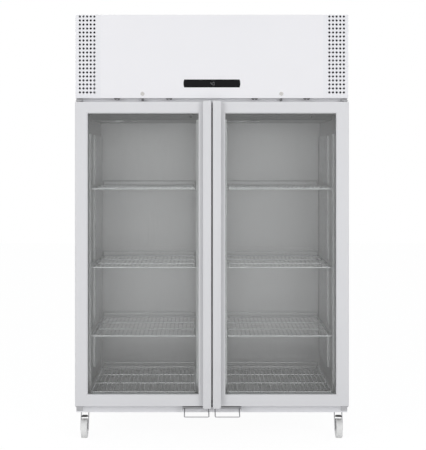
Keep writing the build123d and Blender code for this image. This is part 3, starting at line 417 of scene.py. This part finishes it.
def brushed(name, light, dark, stretch, smooth, coarse, cut):
    """A brushed, drawn or plated metal that uses the grain group."""
    finish, tree, skin = new_finish(name, metallic=1.0)
    grain = tree.nodes.new("ShaderNodeGroup")
    grain.node_tree = brush_grain
    grain.inputs["Light"].default_value = (*light, 1)
    grain.inputs["Dark"].default_value = (*dark, 1)
    grain.inputs["Stretch"].default_value = stretch
    grain.inputs["Smooth"].default_value = smooth
    grain.inputs["Coarse"].default_value = coarse
    grain.inputs["Cut"].default_value = cut
    tree.links.new(grain.outputs["Colour"], skin.inputs["Base Color"])
    tree.links.new(grain.outputs["Roughness"], skin.inputs["Roughness"])
    tree.links.new(grain.outputs["Normal"], skin.inputs["Normal"])
    return finish


liner_steel = brushed(
    "upright_brushed_steel", (0.46, 0.45, 0.46), (0.4, 0.39, 0.4), (450, 450, 5), 0.3, 0.42, 0.05
)
dress(liner_steel, "inner_liner", "back_duct_panel")

# Centre mullion: a boxed stainless post between the two door openings that both gaskets close on.
dress(liner_steel, "centre_mullion")

# Ceiling plenum: a folded steel tray under the fans, with its front edge sloped and a round opening
# under each fan. It is brushed steel, and its very dark colour is painted shade: the fascia's shade over it.
shade_darkened_plenum_steel = brushed(
    "shade_darkened_plenum_steel", (0.17, 0.17, 0.18), (0.13, 0.13, 0.14), (6, 450, 450), 0.32, 0.45, 0.05
)
dress(shade_darkened_plenum_steel, "ceiling_plenum")

# Shelf carriers: roll-formed stainless channels, slotted every 48.5 mm for the shelf brackets, and the
# bent brackets hooked into them.
carrier_steel = brushed(
    "carrier_steel", (0.58, 0.58, 0.59), (0.5, 0.5, 0.51), (450, 450, 8), 0.24, 0.38, 0.06
)
dress(carrier_steel, "shelf_uprights", "shelf_brackets")

# Evaporator and condenser coils: copper tube in aluminium fins, the fins pressed on and left bare.
fin_metal = brushed("aluminium_fins", (0.74, 0.75, 0.76), (0.6, 0.61, 0.62), (700, 20, 20), 0.3, 0.5, 0.3)
dress(fin_metal, "evaporator_coil", "condenser")

# Compressor: a welded black steel can on rubber-mounted feet, with the fan motors painted the same.
machine_black = coated("machine_black", (0.02, 0.02, 0.022), (0.03, 0.03, 0.032), (0.35, 0.5), 0.3)
dress(machine_black, "compressor", "fan_motors")

# Fan impellers: moulded black nylon, pressed on the motor shafts.
fan_nylon = coated("black_nylon", (0.025, 0.025, 0.027), (0.035, 0.035, 0.037), (0.4, 0.55), 0.2)
dress(fan_nylon, "left_evaporator_fan", "right_evaporator_fan", "condenser_fan", "fascia_catches")

# Control box: folded sheet in grey enamel, screwed to the deck, with a nylon gland for the mains lead.
dress(coated("grey_enamel", (0.42, 0.43, 0.45), (0.38, 0.39, 0.41)), "control_box")

# Doors: extruded profiles with mitred corners, coated a satin white slightly darker than the fascia.
door_white = coated("door_satin_white", (0.72, 0.72, 0.735), (0.7, 0.7, 0.715), (0.34, 0.42), 0.06)
dress(door_white, "left_door_frame", "right_door_frame")

# Door grips: one full-height extrusion on each door's free edge, coated like the frame.
dress(
    coated("grip_white", (0.7, 0.7, 0.715), (0.675, 0.675, 0.69), (0.3, 0.4), 0.06),
    "left_door_handle",
    "right_door_handle",
)

# Door gaskets: grey extruded magnetic rubber, welded at the corners and pushed into the door's groove.
dress(
    coated("gasket_rubber", (0.3, 0.3, 0.31), (0.26, 0.26, 0.27), (0.6, 0.75), 0.2),
    "left_door_gasket",
    "right_door_gasket",
)

# Door panes: clear toughened glass, two to a door, with a faint green in their thickness. Lamps shine
# through them, so the shelves behind are lit.
glazing, tree, pane_skin = new_finish("clear_pane")
pane_skin.inputs["Transmission Weight"].default_value = 1.0
pane_skin.inputs["IOR"].default_value = 1.45
pane_skin.inputs["Roughness"].default_value = 0.0
pane_place = tree.nodes.new("ShaderNodeTexCoord").outputs["Object"]
pane_film = speckle(tree, pane_place, 3.0, 2)
tree.links.new(
    tinted(tree, remap(tree, pane_film, 0.0, 1.0), (0.985, 0.995, 0.99), (0.975, 0.985, 0.982)),
    pane_skin.inputs["Base Color"],
)
lets_light = tree.nodes.new("ShaderNodeBsdfTransparent")
lets_light.inputs["Color"].default_value = (0.95, 0.96, 0.955, 1)
lamp_ray = tree.nodes.new("ShaderNodeLightPath")
pane_mix = tree.nodes.new("ShaderNodeMixShader")
tree.links.new(lamp_ray.outputs["Is Shadow Ray"], pane_mix.inputs[0])
tree.links.new(pane_skin.outputs[0], pane_mix.inputs[1])
tree.links.new(lets_light.outputs[0], pane_mix.inputs[2])
tree.links.new(pane_mix.outputs[0], tree.nodes["Material Output"].inputs["Surface"])
dress(glazing, "left_door_glass", "right_door_glass")

# Castor plates, forks, hinges and pedal brackets: pressed steel, zinc plated, with the plating's faint
# spangle.
zinc = brushed("zinc_plate", (0.52, 0.52, 0.53), (0.42, 0.42, 0.44), (60, 60, 60), 0.28, 0.45, 0.05)
dress(zinc, "hinge_brackets", "pedal_brackets", "castor_plates")
for hand in ("left", "right"):
    dress(zinc, f"{hand}_foot_pedal")
    for end in ("front", "rear"):
        dress(zinc, f"{hand}_{end}_castor_fork")

# Locks: nickel-plated cam locks behind the fascia, the barrel turned by a key, with steel bolts
# whose dark colour is painted shade, the shade they lie in behind the fascia.
nickel = brushed("lock_nickel", (0.66, 0.65, 0.63), (0.58, 0.57, 0.56), (90, 90, 90), 0.16, 0.26, 0.03)
dress(nickel, "lock_housings", "left_lock_barrel", "right_lock_barrel")
dress(
    brushed("bolt_steel_painted_shade", (0.2, 0.2, 0.21), (0.14, 0.14, 0.15), (90, 90, 90), 0.35, 0.5, 0.03),
    "left_lock_bolt",
    "right_lock_bolt",
)

# Display: a black acrylic lens over the controller's board.
lens_black = coated(
    "black_acrylic", (0.006, 0.006, 0.007), (0.01, 0.01, 0.011), (0.06, 0.12), 0.01, specular=0.1
)
dress(lens_black, "display_unit")

# Its symbols are grey prints on the lens: plain round keys, and a figure in seven-bar digits.
print_grey = coated("symbol_print", (0.3, 0.3, 0.31), (0.26, 0.26, 0.27), (0.3, 0.4), 0.02)
print_thickness = 0.0002
lens_front_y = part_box("display_unit")[0][1]
symbol_y = lens_front_y - print_thickness / 2
symbol_z = 1.8474
key_radius, key_line = 0.0021, 0.0009
key_places = (-0.1226, -0.1041, -0.0861, -0.0692, -0.0507, 0.0565, 0.0745, 0.0924, 0.1279)
symbols = []
for key_x in key_places:
    key = rod((key_x, symbol_y, symbol_z), print_thickness, key_radius, sides=12, turn=along_y)
    pick_ends(key)
    bpy.ops.mesh.inset(thickness=key_line)
    bpy.ops.mesh.delete(type="FACE")
    bpy.ops.object.mode_set(mode="OBJECT")
    symbols.append(key)
# Each bar of a digit: its place across and up, in halves of the digit, and its turn.
bar_places = {
    "a": (0, 1, 0), "b": (1, 0.5, 90), "c": (1, -0.5, 90), "d": (0, -1, 0),
    "e": (-1, -0.5, 90), "f": (-1, 0.5, 90), "g": (0, 0, 0),
}
digit_half_width, digit_half_height, digit_drop = 0.0035, 0.0075, 0.001
bar_size = (0.0058, print_thickness, 0.0011)
digits = ((-0.0035, "bcfg"), (0.0085, "abcdef"))
for digit_x, bars in digits:
    for bar in bars:
        across, up, turn = bar_places[bar]
        bpy.ops.mesh.primitive_cube_add(
            size=1,
            location=(
                digit_x + across * digit_half_width,
                symbol_y,
                symbol_z - digit_drop + up * digit_half_height,
            ),
            rotation=(0, math.radians(turn), 0),
            scale=bar_size,
        )
        symbols.append(bpy.context.object)
finish_piece(join_pieces(symbols), "display_symbols", print_grey, "cabinet", "black_lens")

# Wheels: moulded white nylon treads on a plain bore.
wheel_white = coated("wheel_nylon", (0.86, 0.86, 0.85), (0.82, 0.82, 0.81), (0.38, 0.5), 0.1)
for hand in ("left", "right"):
    for end in ("front", "rear"):
        dress(wheel_white, f"{hand}_{end}_castor_wheel")

# Brake levers: black nylon pads on a pin through the front forks.
dress(fan_nylon, "left_brake_lever", "right_brake_lever")

# Shelves: round steel wires welded in a grid and chromium plated. Four cross bars carry the wires
# that run from front to back, and a bent wire stands up at the rear as a stop.
chrome = brushed("bright_chrome", (0.62, 0.62, 0.63), (0.52, 0.52, 0.53), (40, 40, 40), 0.12, 0.2, 0.02)
shelf_low, shelf_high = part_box("left_shelf_1")
shelf_middle = (shelf_low[0] + shelf_high[0]) / 2
shelf_width = shelf_high[0] - shelf_low[0]
bar_radius, wire_radius = 0.003, 0.00175
end_inset, end_bulge = 0.35, 0.2
shelf_depth, stop_corner = 0.652, 0.008
bar_count, wire_count = 4, 25
wire_z = shelf_low[2] + 2 * bar_radius + wire_radius


def straight_wire(middle, length, radius, turn, sides=8):
    """A straight wire with eased ends: their inset and their bulge are shares of its radius."""
    wire = rod(middle, length, radius, sides, turn)
    pick_ends(wire)
    bpy.ops.mesh.inset(thickness=radius * end_inset, depth=radius * end_bulge)
    bpy.ops.object.mode_set(mode="OBJECT")
    return wire


def bent_wire(route, radius, closed=False):
    """A wire bent along a route whose corners it rounds, made a mesh."""
    bend = bpy.data.curves.new("bend", "CURVE")
    bend.dimensions = "3D"
    bend.bevel_depth = radius
    bend.bevel_resolution = 2
    bend.use_fill_caps = not closed
    line = bend.splines.new("NURBS")
    line.points.add(len(route) - 1)
    for point, spot in zip(line.points, route):
        point.co = (*spot, 1)
    line.use_cyclic_u = closed
    line.order_u = 3
    line.use_endpoint_u = not closed
    line.resolution_u = 4
    wire = bpy.data.objects.new("bend", bend)
    bpy.context.collection.objects.link(wire)
    bpy.ops.object.select_all(action="DESELECT")
    wire.select_set(True)
    bpy.context.view_layer.objects.active = wire
    bpy.ops.object.convert(target="MESH")
    return bpy.context.object


def eased(corners, ease, closed=False):
    """A route through corners with a point before and after each, so that the bend stays near it."""
    route = []
    count = len(corners)
    for index, corner in enumerate(corners):
        here = Vector(corner)
        at_end = not closed and index in (0, count - 1)
        if at_end:
            route.append(tuple(here))
            continue
        for other in (corners[index - 1], None, corners[(index + 1) % count]):
            if other is None:
                route.append(tuple(here))
            else:
                route.append(tuple(here + (Vector(other) - here).normalized() * ease))
    return route


first_bar = straight_wire(
    (shelf_middle, shelf_low[1] + bar_radius, shelf_low[2] + bar_radius), shelf_width, bar_radius, along_x
)
repeat_piece(first_bar, bar_count, (0, (shelf_depth - 2 * bar_radius) / (bar_count - 1), 0))
first_wire = straight_wire(
    (shelf_low[0] + wire_radius, shelf_low[1] + shelf_depth / 2, wire_z), shelf_depth, wire_radius, along_y
)
repeat_piece(first_wire, wire_count, ((shelf_width - 2 * wire_radius) / (wire_count - 1), 0, 0))
stop_y = shelf_high[1] - wire_radius
stop_wire = bent_wire(
    eased(
        [
            (shelf_low[0] + wire_radius, stop_y, shelf_low[2] + wire_radius),
            (shelf_high[0] - wire_radius, stop_y, shelf_low[2] + wire_radius),
            (shelf_high[0] - wire_radius, stop_y, shelf_high[2] - wire_radius),
            (shelf_low[0] + wire_radius, stop_y, shelf_high[2] - wire_radius),
        ],
        stop_corner,
        closed=True,
    ),
    wire_radius,
    closed=True,
)
shelf = join_pieces([first_bar, first_wire, stop_wire])
for hand in ("left", "right"):
    for tier in range(1, 5):
        node = f"{hand}_shelf_{tier}"
        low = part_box(node)[0]
        tier_shelf = shelf.copy()
        tier_shelf.data = shelf.data.copy()
        bpy.context.collection.objects.link(tier_shelf)
        tier_shelf.location = [low[axis] - shelf_low[axis] for axis in range(3)]
        finish_piece(tier_shelf, f"wire_{node}", chrome, "cabinet", "bright_wire", node)
bpy.data.objects.remove(shelf)

# Pedals: a round steel wire bent to a loop, welded to a shaft that turns in the bracket's ears.
pivot_y, pivot_z, toe_y, toe_z = -0.3785, 0.18, -0.4596, 0.156
pedal_inner, pedal_outer, pedal_corner = 0.016, 0.14, 0.012
shaft_radius, pedal_radius = 0.003, 0.0026
for side, hand in ((-1, "left"), (1, "right")):
    low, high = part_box(f"{hand}_foot_pedal")
    near_x, far_x = side * pedal_inner, side * pedal_outer
    shaft_middle = ((low[0] + high[0]) / 2, pivot_y, pivot_z)
    shaft = straight_wire(shaft_middle, high[0] - low[0], shaft_radius, along_x, sides=12)
    loop = bent_wire(
        eased(
            [
                (near_x, pivot_y, pivot_z),
                (near_x, toe_y, toe_z),
                (far_x, toe_y, toe_z),
                (far_x, pivot_y, pivot_z),
            ],
            pedal_corner,
        ),
        pedal_radius,
    )
    pedal = join_pieces([shaft, loop])
    finish_piece(pedal, f"{hand}_pedal_wire", zinc, f"{hand}_pedal", "zinc_steel", f"{hand}_foot_pedal")

# Wheels: turned from white nylon, with a rounded tread, a dished side and a raised hub.
wheel_radius = 0.05
# The turned side, from the tread inwards: how far each step goes in, and how far it sinks or stands out.
side_steps = ((0.005, 0.0), (0.009, 0.0), (0.002, -0.004), (0.014, 0.0), (0.002, 0.0035))
for hand in ("left", "right"):
    for end in ("front", "rear"):
        node = f"{hand}_{end}_castor_wheel"
        low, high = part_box(node)
        hub = ((low[0] + high[0]) / 2, (low[1] + high[1]) / 2, wheel_radius)
        wheel = rod(hub, high[0] - low[0], wheel_radius, sides=48, turn=along_x)
        for step_in, step_out in side_steps:
            pick_ends(wheel)
            bpy.ops.mesh.inset(thickness=step_in, depth=step_out)
            bpy.ops.object.mode_set(mode="OBJECT")
        ease_edges(wheel, width=0.0014, segments=3, angle=40)
        finish_piece(
            wheel, f"nylon_{hand}_{end}_wheel", wheel_white, f"{hand}_{end}_wheel", "white_nylon", node
        )

# Fan guards: chromium-plated wire rings on two crossed wires, clipped under the plenum's openings.
guard_low, guard_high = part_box("fan_guards")
guard_z = (guard_low[2] + guard_high[2]) / 2
guard_y = (guard_low[1] + guard_high[1]) / 2
ring_count, ring_pitch, first_ring_radius = 7, 0.015, 0.0135
ring_wire_radius, cross_wire_radius = 0.0011, 0.0012
guard_width, cross_lift = 0.207, 0.0003
fan_places = (-0.506, 0.16)
guard_rings = []
for guard_x in fan_places:
    for ring in range(ring_count):
        bpy.ops.mesh.primitive_torus_add(
            major_segments=40,
            minor_segments=6,
            major_radius=first_ring_radius + ring_pitch * ring,
            minor_radius=ring_wire_radius,
            location=(guard_x, guard_y, guard_z),
        )
        guard_rings.append(bpy.context.object)
    for turn in (along_x, along_y):
        cross_middle = (guard_x, guard_y, guard_z + cross_lift)
        guard_rings.append(straight_wire(cross_middle, guard_width, cross_wire_radius, turn))
finish_piece(join_pieces(guard_rings), "wire_fan_guards", chrome, "cabinet", "bright_wire", "fan_guards")

# Plenum trim: black edging pushed on the tray's front lip, and two thumb screws that hold the tray up.
# The edging's black is partly its own colour and partly painted shade, the shadow line along that lip.
plenum_front_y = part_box("ceiling_plenum")[0][1]
edging = []
edging_y, edging_z, edging_thickness, edging_height = plenum_front_y - 0.0014, 1.694, 0.0026, 0.006
# Runs of black strip: partly edging, partly a painted shadow line under the fascia.
edging_and_shadow_line_runs = ((-0.553, -0.381), (-0.315, -0.084), (0.142, 0.361))
for start_x, end_x in edging_and_shadow_line_runs:
    strip = block(
        ((start_x + end_x) / 2, edging_y, edging_z), (end_x - start_x, edging_thickness, edging_height)
    )
    ease_edges(strip, width=0.0009, segments=2)
    edging.append(strip)
knob_y, knob_z, knob_height, knob_radius = -0.2575, 1.6825, 0.012, 0.008
knob_places = (-0.108, 0.527)
square_to_slope = (math.radians(-14), 0, 0)
for knob_x in knob_places:
    knob = rod((knob_x, knob_y, knob_z), knob_height, knob_radius, sides=20, turn=square_to_slope)
    ease_edges(knob, width=0.0015, segments=2)
    edging.append(knob)
finish_piece(join_pieces(edging), "plenum_trim", fan_nylon, "cabinet", "black_plastic")
